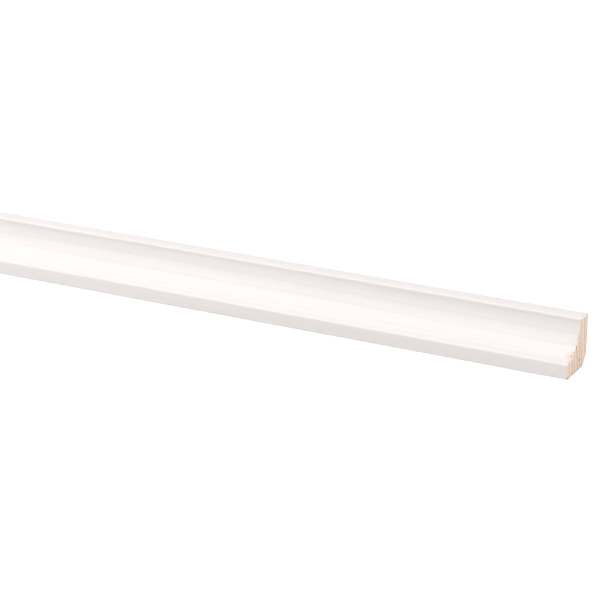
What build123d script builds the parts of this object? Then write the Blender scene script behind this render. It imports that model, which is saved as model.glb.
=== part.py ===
from build123d import *
import os

# A cornice moulding: one length of primed pine, planed to a cove section, that hides the corner
# between a wall and a ceiling. It lies as it does on a shelf: the ceiling leg flat on the floor,
# the wall leg standing at the back, and the cove open to the front and the top.
# X runs along the length, Y from front to back and Z up. All sizes are in millimetres.
# The origin is the middle of the section's footprint, halfway along the length.

# Stock
LENGTH = 2400.0  # one length as it is sold, cut square at both ends
HEIGHT = 27.0  # the wall leg, from the face it lies on to its top
DEPTH = 27.0  # the ceiling leg, from its front face to the back

# Section
TOP_LIP = 10.0  # flat on top of the wall leg, beside the cove
FRONT_LIP = 8.0  # flat on the front of the ceiling leg, below the cove
COVE_RADIUS = 19.5  # radius of the cutter that planed the hollow
BACK_RELIEF = 5.5  # leg of the 45 degree chamfer that clears the plaster in the room's corner
ARRIS_RADIUS = 0.8  # the four long edges that show are eased before priming

NODE = "cornice_moulding"


def section_corners():
    """The section's corners on the YZ plane, by name, before the arrises are eased."""
    back = DEPTH / 2
    front = -DEPTH / 2
    return {
        "relief_foot": (back - BACK_RELIEF, 0),
        "relief_top": (back, BACK_RELIEF),
        "wall_top": (back, HEIGHT),
        "cove_top": (back - TOP_LIP, HEIGHT),
        "cove_foot": (front, FRONT_LIP),
        "front_foot": (front, 0),
    }


def section():
    """The planed section: two legs at a right angle, the cove between them and the relief behind."""
    corner = section_corners()
    wall_side = Polyline(
        corner["front_foot"],
        corner["relief_foot"],
        corner["relief_top"],
        corner["wall_top"],
        corner["cove_top"],
    )
    cove = RadiusArc(corner["cove_top"], corner["cove_foot"], COVE_RADIUS)
    front_face = Line(corner["cove_foot"], corner["front_foot"])
    return make_face(wall_side + cove + front_face)


def eased(face):
    """The same section with its four showing arrises rounded over."""
    corner = section_corners()
    showing = ("wall_top", "cove_top", "cove_foot", "front_foot")
    arrises = [face.vertices().sort_by_distance(corner[name])[0] for name in showing]
    return fillet(arrises, ARRIS_RADIUS)


def moulding():
    """The section run along X, half the length each way from the origin."""
    profile = Plane.YZ * eased(section())
    return extrude(profile, LENGTH / 2, both=True)


piece = moulding()
piece.label = NODE
os.makedirs("parts", exist_ok=True)
export_step(piece, f"parts/{NODE}.step")
print(NODE, "volume", round(piece.volume), "mm3", piece.bounding_box())
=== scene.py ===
import math

import bpy
import numpy as np
from mathutils import Matrix, Vector


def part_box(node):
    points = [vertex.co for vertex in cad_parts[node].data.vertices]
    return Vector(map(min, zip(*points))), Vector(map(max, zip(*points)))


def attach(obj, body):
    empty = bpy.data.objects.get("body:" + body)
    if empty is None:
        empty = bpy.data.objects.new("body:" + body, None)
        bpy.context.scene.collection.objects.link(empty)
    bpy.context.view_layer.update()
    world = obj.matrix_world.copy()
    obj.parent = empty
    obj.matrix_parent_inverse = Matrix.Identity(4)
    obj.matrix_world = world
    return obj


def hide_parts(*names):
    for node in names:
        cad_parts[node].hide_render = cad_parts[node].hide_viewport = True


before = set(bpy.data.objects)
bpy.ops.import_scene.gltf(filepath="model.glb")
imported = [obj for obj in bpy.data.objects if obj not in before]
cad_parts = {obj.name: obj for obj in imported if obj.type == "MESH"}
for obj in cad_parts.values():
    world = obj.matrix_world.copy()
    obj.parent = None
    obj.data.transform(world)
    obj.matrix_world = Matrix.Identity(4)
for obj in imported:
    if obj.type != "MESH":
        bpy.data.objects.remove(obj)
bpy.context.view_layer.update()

# The moulding: one length of fast-grown pine, planed to a cove section, its four long corners
# eased by sanding, then primed on a line that sprays the showing faces well and the faces that go
# on the wall and the ceiling thinly. It is cross-cut by a circular saw, so both ends are bare.
low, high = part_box("cornice_moulding")
HALF_LENGTH = high.x
FRONT = low.y
BACK = high.y
HEIGHT = high.z
TOP_LIP = 0.010
FRONT_LIP = 0.008
COVE_RADIUS = 0.0195
BACK_RELIEF = 0.0055
ARRIS_RADIUS = 0.0008

# How finely the section is divided, and the hidden faces' thinner coat of primer
ARRIS_STEPS = 8
COVE_STEPS = 60
FLAT_STEP = 0.0011
FEWEST_STEPS = 4
THIN_COAT = 0.62


def straight(start, end, step):
    """Points on a straight run: start + t (end - start), with t going evenly from 0 up to just
    short of 1."""
    start, end = np.array(start), np.array(end)
    count = max(FEWEST_STEPS, round(np.linalg.norm(end - start) / step))
    return start + np.linspace(0, 1, count, endpoint=False)[:, None] * (end - start)


def arc(centre, radius, first, last, count):
    """Points on a circle: centre + radius (cos a, sin a), with a going evenly from first to just
    short of last."""
    angle = np.linspace(first, last, count, endpoint=False)
    return np.array(centre) + radius * np.stack([np.cos(angle), np.sin(angle)], axis=1)


def towards(start, end):
    """The angle of the line from start to end, anticlockwise from +Y on the YZ plane."""
    return math.atan2(end[1] - start[1], end[0] - start[0])


def cove_centre():
    """The middle of the cove's circle: from the middle of its chord, square to it, by Pythagoras."""
    top = np.array([BACK - TOP_LIP, HEIGHT])
    foot = np.array([FRONT, FRONT_LIP])
    half_chord = (top - foot) / 2
    rise = math.sqrt(COVE_RADIUS**2 - half_chord @ half_chord)
    square = np.array([-half_chord[1], half_chord[0]]) / np.linalg.norm(half_chord)
    return (top + foot) / 2 + rise * square


def section():
    """The planed section on YZ, anticlockwise seen from the right end, as runs of points. With each point
    goes how well the primer covers it, from 0 to 1, and whether it lies on an eased corner. A corner
    between a flat and the cove is a small circle that touches both, so its middle is a radius from
    the flat and the sum of the two radii from the middle of the cove."""
    r = ARRIS_RADIUS
    cove = cove_centre()
    reach = COVE_RADIUS + r
    top_corner = (cove[0] + math.sqrt(reach**2 - (HEIGHT - r - cove[1]) ** 2), HEIGHT - r)
    foot_corner = (FRONT + r, cove[1] - math.sqrt(reach**2 - (FRONT + r - cove[0]) ** 2))
    quarter = math.pi / 2
    relief_foot = (BACK - BACK_RELIEF, 0)
    relief_top = (BACK, BACK_RELIEF)
    hollow = arc(cove, COVE_RADIUS, towards(cove, top_corner), towards(cove, foot_corner), COVE_STEPS)
    runs = [
        (straight((FRONT + r, 0), relief_foot, FLAT_STEP), THIN_COAT, "flat"),
        (straight(relief_foot, relief_top, FLAT_STEP), THIN_COAT, "flat"),
        (straight(relief_top, (BACK, HEIGHT - r), FLAT_STEP), THIN_COAT, "flat"),
        (arc((BACK - r, HEIGHT - r), r, 0, quarter, ARRIS_STEPS), 1.0, "arris"),
        (straight((BACK - r, HEIGHT), (top_corner[0], HEIGHT), FLAT_STEP), 1.0, "flat"),
        (arc(top_corner, r, quarter, towards(top_corner, cove), ARRIS_STEPS), 1.0, "arris"),
        (hollow, 1.0, "flat"),
        (arc(foot_corner, r, towards(foot_corner, cove), math.pi, ARRIS_STEPS), 1.0, "arris"),
        (straight((FRONT, foot_corner[1]), (FRONT, r), FLAT_STEP), 1.0, "flat"),
        (arc((FRONT + r, r), r, math.pi, 3 * quarter, ARRIS_STEPS), 1.0, "arris"),
    ]
    points = np.concatenate([run for run, _, _ in runs])
    coat = np.concatenate([np.full(len(run), cover) for run, cover, _ in runs])
    eased = np.concatenate([np.full(len(run), float(kind == "arris")) for run, _, kind in runs])
    return points, coat, eased


# Dents from handling: the middle, half the length along the grain, half the width, and the depth
DENTS = [
    ((0.8773, -0.0030, 0.0128), 0.0013, 0.0009, 0.00022),
    ((0.9375, 0.0029, 0.0224), 0.0011, 0.0008, 0.00018),
    ((1.0891, -0.0133, 0.0079), 0.0016, 0.0006, 0.00020),
    ((0.6110, 0.0038, 0.0268), 0.0021, 0.0007, 0.00030),
    ((0.2740, -0.0091, 0.0091), 0.0012, 0.0010, 0.00018),
    ((-0.1350, -0.0132, 0.0006), 0.0028, 0.0007, 0.00035),
    ((-0.4820, 0.0130, 0.0266), 0.0022, 0.0008, 0.00028),
    ((-0.7260, 0.0009, 0.0180), 0.0015, 0.0010, 0.00020),
    ((-1.0490, -0.0131, 0.0078), 0.0019, 0.0007, 0.00030),
]

# How finely the length is divided
CUT_SPACING = 0.0002
DENT_SPACING = 0.0005
COARSE_SPACING = 0.02
SPACING_GROWTH = 0.15
TRIAL_PLACES = 48001


def stations():
    """Places along the length, close where there is detail to hold and wide between. The spacing wanted
    at x is a cut's or a dent's own plus a share of the distance to it, up to the coarse one. One over
    it, added up along the length, counts the stations, and even counts give their places."""
    trial = np.linspace(-HALF_LENGTH, HALF_LENGTH, TRIAL_PLACES)
    from_cut = HALF_LENGTH - np.abs(trial)
    from_dent = np.abs(trial[:, None] - [dent[0][0] for dent in DENTS]).min(axis=1)
    at_cut = CUT_SPACING + SPACING_GROWTH * from_cut
    at_dent = DENT_SPACING + SPACING_GROWTH * from_dent
    spacing = np.minimum(np.minimum(at_cut, at_dent), COARSE_SPACING)
    count = np.concatenate([[0], np.cumsum(np.diff(trial) * 2 / (spacing[1:] + spacing[:-1]))])
    return np.interp(np.linspace(0, count[-1], round(count[-1]) + 1), count, trial)


def wander(across, along, cell, seed):
    """Smooth random relief from -1 to 1: seeded numbers on a lattice of square cells, each place blended
    from its four corners with weights 3t^2 - 2t^3."""
    cells = 97
    lattice = np.random.default_rng(seed).uniform(-1, 1, (cells, cells))
    u, v = across / cell, along / cell
    i, j = np.floor(u).astype(int), np.floor(v).astype(int)
    s, t = u - i, v - j
    s, t = s * s * (3 - 2 * s), t * t * (3 - 2 * t)
    i, j, next_i, next_j = i % cells, j % cells, (i + 1) % cells, (j + 1) % cells
    near = lattice[i, j] * (1 - t) + lattice[i, next_j] * t
    far = lattice[next_i, j] * (1 - t) + lattice[next_i, next_j] * t
    return near * (1 - s) + far * s


# Where the saw frayed the primer beside the cut: -1 for the left end or 1 for the right, the middle on
# YZ, the reach, and how badly
FRAYS = [
    (1, (-0.0072, 0.0105), 0.0040, 1.0),
    (1, (0.0010, 0.0152), 0.0028, 0.6),
    (-1, (0.0012, 0.0182), 0.0026, 0.7),
    (-1, (-0.0122, 0.0080), 0.0022, 0.9),
]


def fraying(yz, side):
    """How badly the saw frayed the primer at a place: the greatest of the end's flat-topped bell
    curves, the worst times e to minus the fourth power of the distance over the reach."""
    bells = [
        worst * np.exp(-((np.linalg.norm(yz - np.array(middle), axis=-1) / reach) ** 4))
        for end, middle, reach, worst in FRAYS
        if end == side
    ]
    return np.max(bells, axis=0)


def from_oval(yz, middle, half_sizes):
    """The square of how far a place lies from the middle of an oval, 1 on its rim: the sum of the
    squares of the distances across and up, each over its half size."""
    return (((yz - np.array(middle)) / np.array(half_sizes)) ** 2).sum(axis=-1)


# Where the saw dragged primer over the bare end: the end, the middle on YZ, half the width and height,
# and how much
SMEARS = [
    (1, (0.0085, 0.0270), (0.0060, 0.0011), 0.90),
    (1, (0.0022, 0.0165), (0.0016, 0.0036), 0.60),
    (-1, (0.0080, 0.0270), (0.0040, 0.0008), 0.70),
    (-1, (-0.0135, 0.0045), (0.0008, 0.0030), 0.60),
]


def dragged(yz, side):
    """How much primer the saw dragged over the bare end: the greatest of the end's oval bell curves,
    the most times e to minus the square of the distance from the oval's middle."""
    bells = [
        most * np.exp(-from_oval(yz, middle, half_sizes))
        for end, middle, half_sizes, most in SMEARS
        if end == side
    ]
    return np.max(bells, axis=0)


# The dusty burr, whose darkening is partly dust and partly painted shade along the edges: how far it
# reaches over the end, how much of it is left on the back, and how much of it was rubbed onto the long
# faces and how far along
BURR_WIDTH = 0.00070
BURR_ON_BACK = 0.75
BURR_RUBBED = 0.7
BURR_LENGTH = 0.0006


def burr(yz):
    """How much dusty burr the saw left at a place, which also sets the painted shade that darkens the
    end's
    edges: it dies away exponentially from the edges where the teeth came out, the underside, the relief
    and, less, the back."""
    y, z = yz[..., 0], yz[..., 1]
    from_relief = (BACK - y + z - BACK_RELIEF) / math.sqrt(2)
    from_side = np.minimum(z, from_relief)
    on_back = BURR_ON_BACK * np.exp(-(BACK - y) / BURR_WIDTH)
    return np.clip(np.maximum(np.exp(-from_side / BURR_WIDTH), on_back), 0, 1)


# The painted highlight on the top beside its corner with the cove, and the painted shade band just under
# it in the cove
HIGHLIGHT_WIDTH = 0.0024
SHADE_MIDDLE = 0.0014
SHADE_WIDTH = 0.0008


def corner_highlight_and_shade(yz):
    """Painted light at the corner between the top and the cove: a bell curve of the distance from the
    corner, above 0 for the painted highlight on the top and below 0 for the painted shade band under it
    in the cove."""
    away = np.linalg.norm(yz - np.array([BACK - TOP_LIP, HEIGHT]), axis=-1)
    on_top = yz[..., 1] > HEIGHT - ARRIS_RADIUS / 4
    in_cove = (yz[..., 1] < HEIGHT - ARRIS_RADIUS / 4) & (yz[..., 0] < BACK - TOP_LIP / 2)
    painted_light = np.exp(-((away / HIGHLIGHT_WIDTH) ** 2))
    painted_shade = np.exp(-(((away - SHADE_MIDDLE) / SHADE_WIDTH) ** 2))
    return painted_light * on_top - painted_shade * in_cove


def outward(points):
    """Square to the closed outline, pointing out: the way from the point before to the point after,
    turned a quarter clockwise."""
    way = np.roll(points, -1, axis=0) - np.roll(points, 1, axis=0)
    way /= np.linalg.norm(way, axis=1)[:, None]
    return np.stack([way[:, 1], -way[:, 0]], axis=1)


# How the sander wandered along the eased corners, and how the primer chipped along the cuts
SANDING_DEPTH = 0.00004
SANDING_CELL = 0.06
CHIP_DEPTH = 0.00042
CHIP_LENGTH = 0.0011
CHIP_CELL = 0.0011
CHIPPED_ANYWHERE = 0.12
CHIPPED_BY_FRAYING = 0.88
CHIPPED_BY_BURR = 0.25


def long_faces(points, eased, places, girth):
    """The section carried along X. Each point is pushed inwards, square to the outline, by the dents
    (a bell curve of the distance along and across the grain), by the sander's wander on the eased
    corners, and near the cuts by chips that die away exponentially from the cut. The chips of each
    end read their own part of the random lattice."""
    yz = points[None, :, :]
    x = places[:, None]
    inwards = np.zeros((len(places), len(points)))
    for middle, half_length, half_width, depth in DENTS:
        along = ((x - middle[0]) / half_length) ** 2
        sideways = ((yz - np.array(middle[1:])) ** 2).sum(axis=2) / half_width**2
        inwards += depth * np.exp(-along - sideways)
    inwards += eased * SANDING_DEPTH * (1 + wander(x, girth[None, :], SANDING_CELL, seed=5))
    from_cut = HALF_LENGTH - np.abs(x)
    own_part = girth[None, :] * np.sign(x) + 0.4
    ragged = np.clip(wander(own_part, np.full(x.shape, 0.3), CHIP_CELL, seed=8), 0, 1)
    frayed = np.where(x > 0, fraying(yz, 1), fraying(yz, -1))
    chips = CHIPPED_ANYWHERE + CHIPPED_BY_FRAYING * frayed + CHIPPED_BY_BURR * burr(yz)
    inwards += CHIP_DEPTH * ragged * np.clip(chips, 0, 1) * np.exp(-from_cut / CHIP_LENGTH)
    across = yz - inwards[:, :, None] * outward(points)[None, :, :]
    along = np.broadcast_to(x, inwards.shape)
    return np.concatenate([along[:, :, None], across], axis=2)


# The saw's arbor on YZ, the pitch of the ripple it left, and how deep the ripple and the fibres lie
ARBOR = np.array([0.021, 0.119])
SCORE_PITCH = 0.0016
RIPPLE_DEPTH = 0.00003
FIBRE_DEPTH = 0.00004
FIBRE_CELL = 0.0007


def saw_depth(yz, side):
    """How deep the cut lies below the square end: the ripple of the saw's teeth, a sine of the distance
    from the arbor, then the ragged fibres, which read their own part of the random lattice at each
    end, and the pits where the teeth tore some out."""
    ripple = 0.5 + 0.5 * np.sin(2 * math.pi * np.linalg.norm(yz - ARBOR, axis=-1) / SCORE_PITCH)
    fibres = 1 + wander(yz[..., 0] + 0.03, yz[..., 1] + side * 0.01, FIBRE_CELL, seed=21)
    return RIPPLE_DEPTH * ripple + FIBRE_DEPTH * fibres + torn(yz, side)[0]


# Where the saw tore the end grain: the end, the middle on YZ, half the width and height, and the
# depth, and how noise bends the pits' outlines
TORN_PITS = [
    (1, (-0.0005, 0.0128), (0.00080, 0.00065), 0.00060),
    (1, (0.0008, 0.0168), (0.00060, 0.00065), 0.00050),
    (1, (0.0025, 0.0174), (0.00055, 0.00090), 0.00050),
    (1, (0.0028, 0.0142), (0.00055, 0.00080), 0.00050),
    (1, (0.0042, 0.0047), (0.00060, 0.00080), 0.00045),
    (1, (-0.0062, 0.0061), (0.00030, 0.00070), 0.00030),
    (1, (-0.0129, 0.0006), (0.00070, 0.00060), 0.00030),
    (1, (0.0130, 0.0263), (0.00045, 0.00060), 0.00030),
    (-1, (0.0064, 0.0112), (0.00030, 0.00110), 0.00040),
    (-1, (-0.0096, 0.0035), (0.00045, 0.00060), 0.00030),
    (-1, (0.0129, 0.0208), (0.00050, 0.00100), 0.00035),
    (-1, (-0.0042, 0.0094), (0.00040, 0.00070), 0.00040),
]
PIT_BEND = 0.5
PIT_CELL = 0.0005


def torn(yz, side):
    """The pits' depth at a place, and how far into a pit it lies, from 0 to 1: oval bell curves, e to
    minus the square of the distance from the oval's middle, their outlines bent by noise."""
    depth = np.zeros(yz.shape[:-1])
    inside = np.zeros(yz.shape[:-1])
    bend = 1 + PIT_BEND * wander(yz[..., 0] + 0.05, yz[..., 1], PIT_CELL, seed=33)
    for end, middle, half_sizes, deepest in TORN_PITS:
        if end == side:
            bell = np.exp(-from_oval(yz, middle, half_sizes) * bend)
            depth += deepest * bell
            inside = np.maximum(inside, bell)
    return depth, inside


# How finely an end is divided, and the point that its rings close on
END_RINGS = 34
RING_CROWDING = 1.4
END_MIDDLE = np.array([0.0042, 0.0080])


def sawn_face(rim, side):
    """One end as rings: the rim drawn in, closely at first, towards a point from which the whole section
    can be seen, then that point, each at its depth below the square end."""
    share = (np.arange(1, END_RINGS + 1) / (END_RINGS + 1)) ** RING_CROWDING
    rings = END_MIDDLE + (1 - share)[:, None, None] * (rim - END_MIDDLE)
    yz = np.concatenate([rings.reshape(-1, 2), END_MIDDLE[None, :]])
    x = side * (HALF_LENGTH - saw_depth(yz, side))
    return np.concatenate([x[:, None], yz], axis=1)


points, coat, eased = section()
places = stations()
closed = np.concatenate([points, points[:1]])
girth_ends = np.concatenate([[0], np.cumsum(np.linalg.norm(np.diff(closed, axis=0), axis=1))])
sides = long_faces(points, eased, places, girth_ends[:-1])
for end, side in ((0, -1), (-1, 1)):
    sides[end, :, 0] = side * (HALF_LENGTH - saw_depth(sides[end, :, 1:], side))
across_count = len(points)
station_count = len(places)
left_face = sawn_face(sides[0, :, 1:], -1)
right_face = sawn_face(sides[-1, :, 1:], 1)
vertices = np.concatenate([sides.reshape(-1, 3), left_face, right_face])

here = np.arange(across_count)
following = (here + 1) % across_count
row = np.arange(station_count - 1)[:, None] * across_count
side_quads = np.stack(
    [row + here, row + following, row + following + across_count, row + here + across_count], axis=-1
).reshape(-1, 4)


def end_quads(rim, first):
    """The quads between an end's rings and the triangles round its middle, as vertex numbers, turned
    anticlockwise round the rim as seen from the right."""
    inner = first + np.arange(END_RINGS * across_count).reshape(END_RINGS, across_count)
    ring = np.concatenate([rim[None, :], inner])
    outer, drawn_in = ring[:-1], ring[1:]
    quads = np.stack([outer, outer[:, following], drawn_in[:, following], drawn_in], axis=-1)
    middle = np.full(across_count, first + END_RINGS * across_count)
    fan = np.stack([ring[-1], ring[-1][following], middle], axis=-1)
    return quads.reshape(-1, 4), fan


left_start = station_count * across_count
right_start = left_start + len(left_face)
left_quads, left_fan = end_quads(here, left_start)
right_quads, right_fan = end_quads(here + (station_count - 1) * across_count, right_start)
faces = [
    *side_quads.tolist(),
    *left_quads[:, ::-1].tolist(),
    *left_fan[:, ::-1].tolist(),
    *right_quads.tolist(),
    *right_fan.tolist(),
]
mesh = bpy.data.meshes.new("primed_cove_length")
mesh.from_pydata(vertices.tolist(), [], faces)

sawn = np.zeros(len(faces), dtype=np.int32)
sawn[len(side_quads):] = 1
mesh.polygons.foreach_set("material_index", sawn)
SHARP_ANGLE = math.radians(35)
mesh.shade_smooth()
mesh.set_sharp_from_angle(angle=SHARP_ANGLE)

# What each vertex of the long faces and then of the two ends carries: how well the primer covers it,
# how far it lies into a torn pit, its burr, whose darkening is partly painted shade along the edges, the
# painted highlight and painted shade at the cove's top corner, and whether its corner was rubbed. The
# primer is worn beside a cut, and flecks and overspill of it lie beside the cove.
WORN_AT_CUT = 0.30
WORN_BY_FRAYING = 0.50
WORN_LENGTH = 0.0006
WORN_LENGTH_BY_FRAYING = 0.0018
FLECKED = 0.60
FLECKED_WIDTH = 0.0028
OVERSPILL = 0.55
OVERSPILL_WIDTH = 0.0007

left_yz, right_yz = left_face[:, 1:], right_face[:, 1:]
cut_yz = np.concatenate([left_yz, right_yz])
nothing_on_ends = np.zeros(len(cut_yz))
every_station = np.ones((station_count, 1))

from_cut = HALF_LENGTH - np.abs(sides[:, :, 0])
frayed = np.where(sides[:, :, 0] > 0, fraying(points, 1), fraying(points, -1))
worn_length = WORN_LENGTH + WORN_LENGTH_BY_FRAYING * frayed
worn = (WORN_AT_CUT + WORN_BY_FRAYING * frayed) * np.exp(-from_cut / worn_length)
# The burr rubbed onto the long faces beside the cut, its darkening partly dust and partly painted shade
# along the edges
rubbed_burr_and_shade = BURR_RUBBED * burr(points) * np.exp(-from_cut / BURR_LENGTH)

from_cove = np.maximum(np.linalg.norm(cut_yz - cove_centre(), axis=1) - COVE_RADIUS, 0)
frayed_ends = np.concatenate([fraying(left_yz, -1), fraying(right_yz, 1)])
flecks = FLECKED * frayed_ends * np.exp(-((from_cove / FLECKED_WIDTH) ** 2))
overspill = OVERSPILL * np.exp(-from_cove / OVERSPILL_WIDTH)
smears = np.concatenate([dragged(left_yz, -1), dragged(right_yz, 1)])
pits = np.concatenate([torn(left_yz, -1)[1], torn(right_yz, 1)[1]])

attributes = {
    "primer_film": (coat * (1 - worn), np.max([flecks, overspill, smears], axis=0)),
    "torn_pit": (np.zeros(left_start), pits),
    "burr": (rubbed_burr_and_shade, burr(cut_yz)),
    "corner_highlight_and_shade": (corner_highlight_and_shade(points) * every_station, nothing_on_ends),
    "rubbed_corner": (eased * every_station, nothing_on_ends),
}
for name, (on_faces, on_ends) in attributes.items():
    values = np.concatenate([on_faces.ravel(), on_ends]).astype(np.float32)
    mesh.attributes.new(name, "FLOAT", "POINT").data.foreach_set("value", values)

moulding = bpy.data.objects.new("primed_cove_length", mesh)
bpy.context.scene.collection.objects.link(moulding)
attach(moulding, "root")
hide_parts("cornice_moulding")


def swatch(red, green, blue):
    """A paint swatch's 8-bit red, green and blue as linear light, by the sRGB curve, with alpha 1."""
    parts = np.array([red, green, blue]) / 255
    linear = np.where(parts <= 0.04045, parts / 12.92, ((parts + 0.055) / 1.055) ** 2.4)
    return (*linear.tolist(), 1.0)


PRIMER = swatch(246, 240, 238)
PRIMER_OVER_LATE_WOOD = swatch(238, 231, 228)
# Painted highlight on the top beside the cove's corner, and painted shade just under it in the cove
PAINTED_CORNER_HIGHLIGHT = swatch(249, 244, 242)
PAINTED_SHADE_UNDER_CORNER = swatch(241, 235, 232)
HANDLING_GREY = swatch(206, 202, 198)
EARLY_WOOD = swatch(240, 214, 186)
LATE_WOOD = swatch(206, 158, 116)
SAWN_EARLY_WOOD = swatch(244, 221, 204)
SAWN_LATE_WOOD = swatch(208, 167, 136)
LIFTED_FIBRE = swatch(252, 236, 219)
TORN_FIBRE = swatch(120, 84, 60)
# Burr dust, partly a painted shade along the bottom, relief and back edges of the cut
BURR_DUST_AND_PAINTED_SHADE = swatch(150, 134, 122)

# The tree: its pith, how far the grain runs off true, its rings, how much they bend, widen and narrow,
# the weakest ring's share, where in a ring the late wood darkens and ends, and the sizes along X, Y
# and Z of the slow bends, the fibres and the pores
PITH = (0.0, 0.172, 0.043)
GRAIN_TURN = (0.0, 0.002, 0.004)
RING_SPACING = 0.0040
RING_BEND = 0.016
RING_UNEVENNESS = 1.3
RING_CHANGE = 0.43
WEAKEST_RING = 0.55
LATE_WOOD_DARKENS = (0.40, 0.90)
LATE_WOOD_ENDS = (0.93, 1.0)
BEND_SIZE = (0.55, 0.045, 0.045)
FIBRE_SIZE = (0.035, 0.00035, 0.00035)
PORE_SIZE = (0.004, 0.00022, 0.00022)


def put(tree, kind, inputs=None, **settings):
    """Adds a node to a tree. inputs gives its sockets, by name or number, a value or another's output."""
    made = tree.nodes.new("ShaderNode" + kind)
    for name, value in settings.items():
        setattr(made, name, value)
    for key, value in (inputs or {}).items():
        if isinstance(value, bpy.types.NodeSocket):
            tree.links.new(value, made.inputs[key])
        else:
            made.inputs[key].default_value = value
    return made


def work_out(tree, operation, *values):
    """One step of arithmetic on numbers."""
    return put(tree, "Math", dict(enumerate(values)), operation=operation).outputs[0]


def ease(tree, value, start, end):
    """0 below start and 1 above end, with a smooth step 3t^2 - 2t^3 between."""
    inputs = {"Value": value, "From Min": start, "From Max": end}
    return put(tree, "MapRange", inputs, interpolation_type="SMOOTHSTEP").outputs[0]


def mixed(tree, share, first, second):
    """The first colour where share is 0 and the second where it is 1."""
    return put(tree, "Mix", {0: share, 6: first, 7: second}, data_type="RGBA").outputs[2]


def grained(tree, place, size, detail=2.0, roughness=0.5):
    """Noise whose lumps have the given size along X, Y and Z, in metres."""
    stretch = tuple(1 / part for part in size)
    stretched = put(tree, "VectorMath", {0: place, 1: stretch}, operation="MULTIPLY").outputs[0]
    inputs = {"Vector": stretched, "Scale": 1.0, "Detail": detail, "Roughness": roughness}
    return put(tree, "TexNoise", inputs)


def from_x_axis(tree, place):
    """How far a place lies from the X axis: the length of the place with its X left out."""
    flat = put(tree, "VectorMath", {0: place, 1: (0, 1, 1)}, operation="MULTIPLY").outputs[0]
    return put(tree, "VectorMath", {0: flat}, operation="LENGTH").outputs["Value"]


def new_group(name, inputs, outputs):
    """An empty node group with these named sockets, and its input and output nodes."""
    tree = bpy.data.node_groups.new(name, "ShaderNodeTree")
    for socket, kind in inputs.items():
        tree.interface.new_socket(socket, in_out="INPUT", socket_type="NodeSocket" + kind)
    for socket in outputs:
        tree.interface.new_socket(socket, in_out="OUTPUT", socket_type="NodeSocketFloat")
    return tree, tree.nodes.new("NodeGroupInput"), tree.nodes.new("NodeGroupOutput")


def pine_figure():
    """Growth rings and fibres of pine. The distance from the pith, bent by a slow noise that is long
    along the grain, is counted in rings. Through each ring late wood darkens slowly and then ends at
    a line. Rings differ in strength, and fibres are noise drawn out along the grain."""
    inputs = {"Place": "Vector", "Ring Spacing": "Float", "Bend": "Float"}
    tree, given, result = new_group("Pine figure", inputs, ["Late Wood", "Fibre", "Pores"])
    place = given.outputs["Place"]
    slow = grained(tree, place, BEND_SIZE).outputs["Color"]
    centred = put(tree, "VectorMath", {0: slow, 1: (0.5, 0.5, 0.5)}, operation="SUBTRACT").outputs[0]
    bend = put(tree, "VectorMath", {0: centred, "Scale": given.outputs["Bend"]}, operation="SCALE")
    bent = put(tree, "VectorMath", {0: place, 1: bend.outputs[0]}, operation="ADD").outputs[0]
    away = from_x_axis(tree, bent)
    count = work_out(tree, "DIVIDE", away, given.outputs["Ring Spacing"])
    noise = {"W": count, "Scale": RING_CHANGE, "Detail": 1.0}
    uneven = put(tree, "TexNoise", noise, noise_dimensions="1D").outputs[0]
    count = work_out(tree, "ADD", count, work_out(tree, "MULTIPLY", uneven, RING_UNEVENNESS))
    through = work_out(tree, "FRACT", count)
    rising = ease(tree, through, *LATE_WOOD_DARKENS)
    falling = work_out(tree, "SUBTRACT", 1.0, ease(tree, through, *LATE_WOOD_ENDS))
    number = work_out(tree, "FLOOR", count)
    strength = put(tree, "TexWhiteNoise", {"W": number}, noise_dimensions="1D").outputs["Value"]
    strength = work_out(tree, "MULTIPLY_ADD", strength, 1 - WEAKEST_RING, WEAKEST_RING)
    late = work_out(tree, "MULTIPLY", work_out(tree, "MULTIPLY", rising, falling), strength)
    fibre = grained(tree, place, FIBRE_SIZE, detail=3.0, roughness=0.6).outputs[0]
    pores = grained(tree, place, PORE_SIZE, roughness=0.7).outputs[0]
    for name, value in (("Late Wood", late), ("Fibre", fibre), ("Pores", pores)):
        tree.links.new(value, result.inputs[name])
    return tree


# The sprayed film: the sizes along X, Y and Z of its ragged edge, its mottle, its peel, its rub marks
# and the patches that hold them, how far the edge and the fibres roughen it, and where it covers
EDGE_SIZE = (0.0020, 0.0005, 0.0005)
MOTTLE_SIZE = (0.16, 0.0045, 0.0045)
PEEL_SIZE = (0.0024, 0.0016, 0.0016)
MARK_SIZE = (0.045, 0.0012, 0.0012)
PATCH_SIZE = (0.09, 0.02, 0.02)
EDGE_ROUGHENS = 0.85
FIBRE_ROUGHENS = 0.22
FILM_COVERS = (0.36, 0.52)
MARKS_SHOW = (0.60, 0.78)
PATCHES_SHOW = (0.50, 0.68)


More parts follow.
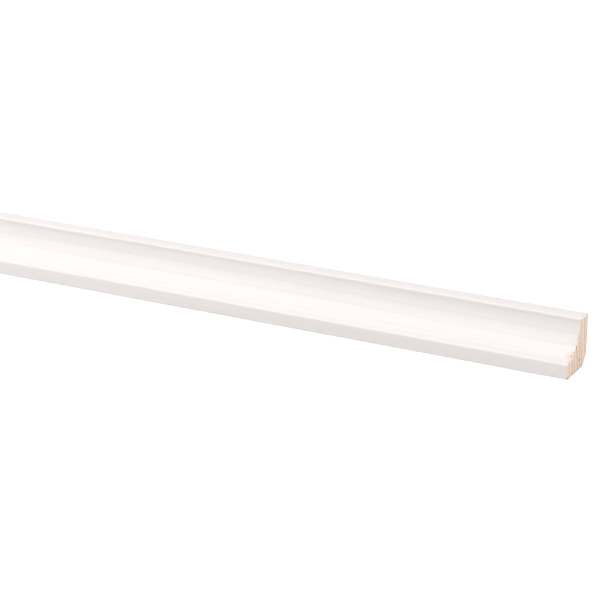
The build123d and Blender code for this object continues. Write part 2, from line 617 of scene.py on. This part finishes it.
def primer_film():
    """A sprayed primer on wood. It hides the wood where the film, roughened by noise, is over a half.
    Mottle is its slow change of tone, drawn out along the line it ran through, Peel the fine skin
    that spraying leaves, and Rub the grey marks of other stock sliding over it."""
    inputs = {"Place": "Vector", "Film": "Float", "Fibre": "Float"}
    tree, given, result = new_group("Primer film", inputs, ["Cover", "Mottle", "Peel", "Rub"])
    place = given.outputs["Place"]
    edge = grained(tree, place, EDGE_SIZE, detail=3.0, roughness=0.65).outputs[0]
    film = given.outputs["Film"]
    for noise, roughens in ((edge, EDGE_ROUGHENS), (given.outputs["Fibre"], FIBRE_ROUGHENS)):
        uneven = work_out(tree, "SUBTRACT", noise, 0.5)
        film = work_out(tree, "MULTIPLY_ADD", uneven, roughens, film)
    cover = ease(tree, film, *FILM_COVERS)
    mottle = grained(tree, place, MOTTLE_SIZE, detail=3.0, roughness=0.55).outputs[0]
    peel = grained(tree, place, PEEL_SIZE, roughness=0.4).outputs[0]
    marks = ease(tree, grained(tree, place, MARK_SIZE, roughness=0.6).outputs[0], *MARKS_SHOW)
    patches = ease(tree, grained(tree, place, PATCH_SIZE).outputs[0], *PATCHES_SHOW)
    rub = work_out(tree, "MULTIPLY", marks, patches)
    for name, value in (("Cover", cover), ("Mottle", mottle), ("Peel", peel), ("Rub", rub)):
        tree.links.new(value, result.inputs[name])
    return tree


# The burr's darkening, partly dust and partly painted shade along the edges: how far the pores break it
# up, where it shows, and how much it hides at most
PORES_BREAK = 1.2
BURR_SHOWS = (0.35, 0.75)
BURR_HIDES = 0.8


def saw_burr_dust_and_shade():
    """The dusty burr a saw leaves along a cut, its darkening partly a painted shade along the edges.
    Share
    says how much it hides what is under it: the amount of burr there, broken up by the pores."""
    tree, given, result = new_group("Saw burr dust and painted edge shade", {"Amount": "Float", "Pores": "Float"}, ["Share"])
    uneven = work_out(tree, "SUBTRACT", given.outputs["Pores"], 0.5)
    broken = work_out(tree, "MULTIPLY_ADD", uneven, PORES_BREAK, given.outputs["Amount"])
    share = work_out(tree, "MULTIPLY", ease(tree, broken, *BURR_SHOWS), BURR_HIDES)
    tree.links.new(share, result.inputs["Share"])
    return tree


def grouped(tree, group, **inputs):
    """Places a node group in a tree and gives its inputs."""
    node = tree.nodes.new("ShaderNodeGroup")
    node.node_tree = group
    for name, value in inputs.items():
        socket = node.inputs[name.replace("_", " ")]
        if isinstance(value, bpy.types.NodeSocket):
            tree.links.new(value, socket)
        else:
            socket.default_value = value
    return node.outputs


def new_material(name):
    """An empty node material and its surface shader."""
    material = bpy.data.materials.new(name)
    material.use_nodes = True
    tree = material.node_tree
    return material, tree, tree.nodes["Principled BSDF"]


def from_pith(tree):
    """Object coordinates, and the same with the tree's pith in the middle and the grain a little off
    true."""
    place = put(tree, "TexCoord").outputs["Object"]
    about = {"Vector": place, "Location": tuple(-part for part in PITH), "Rotation": GRAIN_TURN}
    return place, put(tree, "Mapping", about).outputs[0]


# The teeth's scores and the resin canals: how close they lie, and where they show
SCORES_IN_RIPPLE = 3
SCORE_SHARPNESS = (0.1, 0.9)
SCORE_PATCH_SIZE = (0.01, 0.004, 0.003)
SCORE_PATCHES_SHOW = (0.40, 0.62)
CANALS_IN_METRE = 620.0
CANAL_RIM = (0.06, 0.13)
CANALS_LEFT_OUT = 0.62


def saw_scores(tree, place):
    """The teeth's faint scores in circles about the arbor: a sine of the distance from it, a third as far
    apart as the cut's ripple, where a slow noise lets them show."""
    about = {0: place, 1: (0.0, *ARBOR.tolist())}
    from_arbor = put(tree, "VectorMath", about, operation="SUBTRACT").outputs[0]
    turn = SCORES_IN_RIPPLE * 2 * math.pi / SCORE_PITCH
    wave = work_out(tree, "SINE", work_out(tree, "MULTIPLY", from_x_axis(tree, from_arbor), turn))
    shows = ease(tree, grained(tree, place, SCORE_PATCH_SIZE).outputs[0], *SCORE_PATCHES_SHOW)
    return work_out(tree, "MULTIPLY", ease(tree, wave, *SCORE_SHARPNESS), shows)


def resin_canals(tree, place):
    """Fine dots of resin canals: the middles of scattered cells, of which about a third show."""
    cells = put(tree, "TexVoronoi", {"Vector": place, "Scale": CANALS_IN_METRE})
    dot = work_out(tree, "SUBTRACT", 1.0, ease(tree, cells.outputs["Distance"], *CANAL_RIM))
    chosen = work_out(tree, "GREATER_THAN", cells.outputs["Color"], CANALS_LEFT_OUT)
    return work_out(tree, "MULTIPLY", dot, chosen)


FIGURE = pine_figure()
FILM = primer_film()
BURR_DUST_AND_SHADE = saw_burr_dust_and_shade()


def on_mesh(tree, name):
    """A value that the mesh carries at each vertex."""
    return put(tree, "Attribute", attribute_name=name).outputs["Fac"]


def weighted_sum(tree, start, *parts):
    """A start plus each value times its weight."""
    total = start
    for value, weight in parts:
        total = work_out(tree, "MULTIPLY_ADD", value, weight, total)
    return total


def overlaid(tree, under, over, share, most):
    """The colour under, hidden by the colour over as far as share times most."""
    return mixed(tree, work_out(tree, "MULTIPLY", share, most), under, over)


# The long faces: where the streaks show, what counts as a thin film, how far the wood shows through it
# and the rub marks show on it, the primer's roughness and the height of its relief
STREAKS_SHOW = (0.30, 0.95)
THIN_FILM = (0.55, 0.95)
WOOD_SHOWS_THROUGH = 0.30
RUB_SHOWS = 0.16
PRIMER_ROUGHNESS = 0.37
PRIMER_RELIEF = 0.00012


def primed_pine():
    """Off-white primer over planed pine. The late wood stands a little proud, because planing presses the
    soft wood and the wet primer lets it swell, so its lines show through as a faint ridge and tint.
    Rubbed corners are smoother."""
    material, tree, surface = new_material("Primed pine")
    place, centred = from_pith(tree)
    wood = grouped(tree, FIGURE, Place=centred, Ring_Spacing=RING_SPACING, Bend=RING_BEND)
    fibre, late = wood["Fibre"], wood["Late Wood"]
    film = on_mesh(tree, "primer_film")
    primer = grouped(tree, FILM, Place=place, Film=film, Fibre=fibre)
    bare = mixed(tree, late, EARLY_WOOD, LATE_WOOD)
    streak = weighted_sum(tree, 0.0, (fibre, 0.30), (late, 0.25), (primer["Mottle"], 0.55))
    painted = mixed(tree, ease(tree, streak, *STREAKS_SHOW), PRIMER, PRIMER_OVER_LATE_WOOD)
    # Painted light at the cove's top corner: a lighter primer colour as a painted highlight on the top, a
    # darker one as painted shade just inside the cove
    painted_light = on_mesh(tree, "corner_highlight_and_shade")
    painted_shade = work_out(tree, "MULTIPLY", painted_light, -1.0)
    painted = mixed(tree, work_out(tree, "MAXIMUM", painted_light, 0.0), painted, PAINTED_CORNER_HIGHLIGHT)
    painted = mixed(tree, work_out(tree, "MAXIMUM", painted_shade, 0.0), painted, PAINTED_SHADE_UNDER_CORNER)
    thin = work_out(tree, "SUBTRACT", 1.0, ease(tree, film, *THIN_FILM))
    painted = overlaid(tree, painted, bare, thin, WOOD_SHOWS_THROUGH)
    painted = overlaid(tree, painted, HANDLING_GREY, primer["Rub"], RUB_SHOWS)
    colour = mixed(tree, primer["Cover"], bare, painted)
    # Burr dust beside the cut, partly painted shade along the edges
    burr_dust_and_shade = grouped(tree, BURR_DUST_AND_SHADE, Amount=on_mesh(tree, "burr"), Pores=wood["Pores"])
    colour = mixed(tree, burr_dust_and_shade["Share"], colour, BURR_DUST_AND_PAINTED_SHADE)
    rubbed = on_mesh(tree, "rubbed_corner")
    roughness = weighted_sum(tree, PRIMER_ROUGHNESS, (primer["Mottle"], 0.16), (rubbed, -0.10))
    relief = ((fibre, 0.50), (late, 0.20), (primer["Peel"], 0.40), (primer["Cover"], 0.35))
    height = weighted_sum(tree, 0.0, *relief)
    bump = put(tree, "Bump", {"Height": height, "Distance": PRIMER_RELIEF})
    tree.links.new(colour, surface.inputs["Base Color"])
    tree.links.new(roughness, surface.inputs["Roughness"])
    tree.links.new(bump.outputs[0], surface.inputs["Normal"])
    return material


# The sawn end: where and how far the pores, lifted fibres, scores, canals and torn pits tint it, the
# pits' dark tint partly a painted shade in their hollows, how far the pores break up the pits, the end's
# roughness and the height of its relief
PORES_SHOW = (0.45, 0.80)
PORES_TINT = 0.35
LIFTED_SIZE = (0.002, 0.0006, 0.0013)
LIFTED_SHOW = (0.46, 0.66)
LIFTED_TINT = 0.45
SCORES_TINT = 0.22
CANALS_TINT = 0.45
PORES_BREAK_PITS = 1.6
PITS_SHOW = (0.25, 0.70)
PIT_TINT_AND_SHADE = 0.85
SAWN_ROUGHNESS = 0.85
SAWN_RELIEF = 0.0001


def sawn_pine():
    """Bare end grain from a circular saw: growth rings, open pores, torn pits whose dark tint is partly a
    painted shade in their hollows, a fuzzy edge that has picked up dust and is darkened partly as painted
    shade, and primer that the saw dragged over the edges of the cove and the top."""
    material, tree, surface = new_material("Sawn pine end")
    place, centred = from_pith(tree)
    wood = grouped(tree, FIGURE, Place=centred, Ring_Spacing=RING_SPACING, Bend=RING_BEND)
    pores, late = wood["Pores"], wood["Late Wood"]
    primer = grouped(tree, FILM, Place=place, Film=on_mesh(tree, "primer_film"), Fibre=pores)
    scores = saw_scores(tree, place)
    lifted = grained(tree, place, LIFTED_SIZE, detail=3.0, roughness=0.6).outputs[0]
    colour = mixed(tree, late, SAWN_EARLY_WOOD, SAWN_LATE_WOOD)
    colour = overlaid(tree, colour, SAWN_LATE_WOOD, ease(tree, pores, *PORES_SHOW), PORES_TINT)
    colour = overlaid(tree, colour, LIFTED_FIBRE, ease(tree, lifted, *LIFTED_SHOW), LIFTED_TINT)
    colour = overlaid(tree, colour, SAWN_LATE_WOOD, scores, SCORES_TINT)
    colour = overlaid(tree, colour, TORN_FIBRE, resin_canals(tree, centred), CANALS_TINT)
    colour = mixed(tree, primer["Cover"], colour, PRIMER)
    # Torn pits: dark torn fibre, partly a painted shade in each pit's hollow
    uneven = work_out(tree, "SUBTRACT", pores, 0.5)
    broken = work_out(tree, "MULTIPLY_ADD", uneven, PORES_BREAK_PITS, on_mesh(tree, "torn_pit"))
    colour = overlaid(tree, colour, TORN_FIBRE, ease(tree, broken, *PITS_SHOW), PIT_TINT_AND_SHADE)
    # Burr dust along the end's edges, partly painted shade along the bottom, relief and back
    burr_dust_and_shade = grouped(tree, BURR_DUST_AND_SHADE, Amount=on_mesh(tree, "burr"), Pores=pores)
    colour = mixed(tree, burr_dust_and_shade["Share"], colour, BURR_DUST_AND_PAINTED_SHADE)
    height = weighted_sum(tree, 0.0, (late, 0.5), (pores, 1.0), (scores, -0.4))
    bump = put(tree, "Bump", {"Height": height, "Distance": SAWN_RELIEF})
    tree.links.new(colour, surface.inputs["Base Color"])
    tree.links.new(bump.outputs[0], surface.inputs["Normal"])
    surface.inputs["Roughness"].default_value = SAWN_ROUGHNESS
    return material


mesh.materials.append(primed_pine())
mesh.materials.append(sawn_pine())

# The bake map: the long faces fill the lower part as one strip, a station apart along it, so that
# the cuts and the dents get the most room. The two ends stand side by side above it.
STRIP_SHARE = 0.60
END_SHARE = 0.37
END_PLACES = ((0.01, 0.615), (0.51, 0.615))


def end_on_map(face_corners, corner):
    """An end's vertices on the map: Y and Z scaled to the end's square, from its lower left corner."""
    yz = vertices[face_corners.ravel(), 1:]
    return np.array(corner) + (yz - np.array([FRONT, 0])) / HEIGHT * END_SHARE


station_share = np.arange(station_count) / (station_count - 1)
girth_share = girth_ends / girth_ends[-1] * STRIP_SHARE
u = np.stack([station_share[:-1], station_share[:-1], station_share[1:], station_share[1:]], axis=-1)
v = np.stack([girth_share[:-1], girth_share[1:], girth_share[1:], girth_share[:-1]], axis=-1)
strip = np.stack(np.broadcast_arrays(u[:, None, :], v[None, :, :]), axis=-1).reshape(-1, 2)
on_map = np.concatenate([
    strip,
    end_on_map(left_quads[:, ::-1], END_PLACES[0]),
    end_on_map(left_fan[:, ::-1], END_PLACES[0]),
    end_on_map(right_quads, END_PLACES[1]),
    end_on_map(right_fan, END_PLACES[1]),
])
bake_map = mesh.uv_layers.new(name="OFBake")
bake_map.uv.foreach_set("vector", on_map.astype(np.float32).ravel())

# The floor: a plain pale studio floor, far wider than the moulding, that the camera and reflections
# see as white while it still takes the moulding's shadow and throws plain light back up.
FLOOR_HALF = 30.0
FLOOR_COLOUR = swatch(238, 238, 238)
FLOOR_ROUGHNESS = 0.9
FLOOR_SHADOW_SHARE = 0.40
FLOOR_LIFT = 0.17
WHITE = (1, 1, 1, 1)


def seen_directly(tree):
    """1 for camera, glossy and transmitted rays, and 0 for the light that lands on the moulding."""
    path = put(tree, "LightPath").outputs
    glossy = work_out(tree, "MAXIMUM", path["Is Camera Ray"], path["Is Glossy Ray"])
    return work_out(tree, "MAXIMUM", glossy, path["Is Transmission Ray"])


floor_mesh = bpy.data.meshes.new("studio_floor")
corners = FLOOR_HALF * np.array([[-1, -1], [1, -1], [1, 1], [-1, 1]])
floor_mesh.from_pydata(np.pad(corners, ((0, 0), (0, 1))).tolist(), [], [(0, 1, 2, 3)])
floor = bpy.data.objects.new("studio_floor", floor_mesh)
bpy.context.scene.collection.objects.link(floor)

floor_paint, tree, surface = new_material("Pale studio floor")
surface.inputs["Base Color"].default_value = FLOOR_COLOUR
surface.inputs["Roughness"].default_value = FLOOR_ROUGHNESS
seen = seen_directly(tree)
glow = put(tree, "Emission", {"Color": WHITE, "Strength": 1.0}).outputs[0]
share = work_out(tree, "MULTIPLY", seen, 1 - FLOOR_SHADOW_SHARE)
blend = put(tree, "MixShader", {0: share, 1: surface.outputs[0], 2: glow}).outputs[0]
lift = work_out(tree, "MULTIPLY", seen, FLOOR_LIFT)
added = put(tree, "Emission", {"Color": WHITE, "Strength": lift}).outputs[0]
total = put(tree, "AddShader", {0: blend, 1: added}).outputs[0]
tree.links.new(total, tree.nodes["Material Output"].inputs["Surface"])
floor_mesh.materials.append(floor_paint)

# The light: a long soft box overhead, and a second one in front to the left, whose sheen runs down
# the middle of the cove. A low soft light from the right falls on the sawn end, and the pale room
# fills the shade.
ROOM_LIGHT = 0.36
SIDE_LIGHT = 1.10
SIDE_FROM = Vector((1.0, -0.04, 0.07))
SIDE_ANGLE = math.radians(12)

world = bpy.data.worlds.new("White room")
bpy.context.scene.world = world
world.use_nodes = True
tree = world.node_tree
brightness = {"Value": seen_directly(tree), "To Min": ROOM_LIGHT, "To Max": 1.0}
strength = put(tree, "MapRange", brightness).outputs[0]
background = tree.nodes["Background"]
background.inputs["Color"].default_value = WHITE
tree.links.new(strength, background.inputs["Strength"])


def light(name, kind, energy, shines):
    """Adds a light that shines along a direction."""
    data = bpy.data.lights.new(name, kind)
    data.energy = energy
    made = bpy.data.objects.new(name, data)
    made.rotation_mode = "QUATERNION"
    made.rotation_quaternion = shines.to_track_quat("-Z", "Y")
    bpy.context.scene.collection.objects.link(made)
    return made


def soft_box(name, watts, size, place, aim):
    """Adds a rectangular soft box at a place, turned to face the aim."""
    made = light(name, "AREA", watts, aim - place)
    made.location = place
    made.data.shape = "RECTANGLE"
    made.data.size, made.data.size_y = size


soft_box(
    "Overhead box",
    watts=53.0,
    size=(5.0, 1.6),
    place=Vector((0.4, -0.26, 2.99)),
    aim=Vector((0.4, 0.0, 0.0)),
)
soft_box(
    "Front box",
    watts=28.8,
    size=(2.0, 2.0),
    place=Vector((-0.4, -1.6, 1.98)),
    aim=Vector((1.0, 0.0, 0.0)),
)
light("Side light", "SUN", SIDE_LIGHT, -SIDE_FROM).data.angle = SIDE_ANGLE

# The camera: a long lens to the right of the moulding's right end and in front of it, held practically
# level and looking back along the moulding to the left and down.
CAMERA_PLACE = Vector((1.5396, -0.9496, 0.4036))
CAMERA_TURN = math.radians(27.61)
CAMERA_DIP = math.radians(20.10)
CAMERA_ROLL = math.radians(0.06)
PICTURE_PIXELS = 600
FOCAL_PIXELS = 2138.0
SENSOR_WIDTH = 36.0

camera_data = bpy.data.cameras.new("Camera")
camera_data.sensor_width = SENSOR_WIDTH
camera_data.lens = FOCAL_PIXELS / PICTURE_PIXELS * SENSOR_WIDTH
camera = bpy.data.objects.new("Camera", camera_data)
turned = Matrix.Rotation(CAMERA_TURN, 4, "Z")
dipped = Matrix.Rotation(math.pi / 2 - CAMERA_DIP, 4, "X")
rolled = Matrix.Rotation(CAMERA_ROLL, 4, "Z")
camera.matrix_world = Matrix.Translation(CAMERA_PLACE) @ turned @ dipped @ rolled
bpy.context.scene.collection.objects.link(camera)
bpy.context.scene.camera = camera
bpy.context.scene.view_settings.view_transform = "Standard"
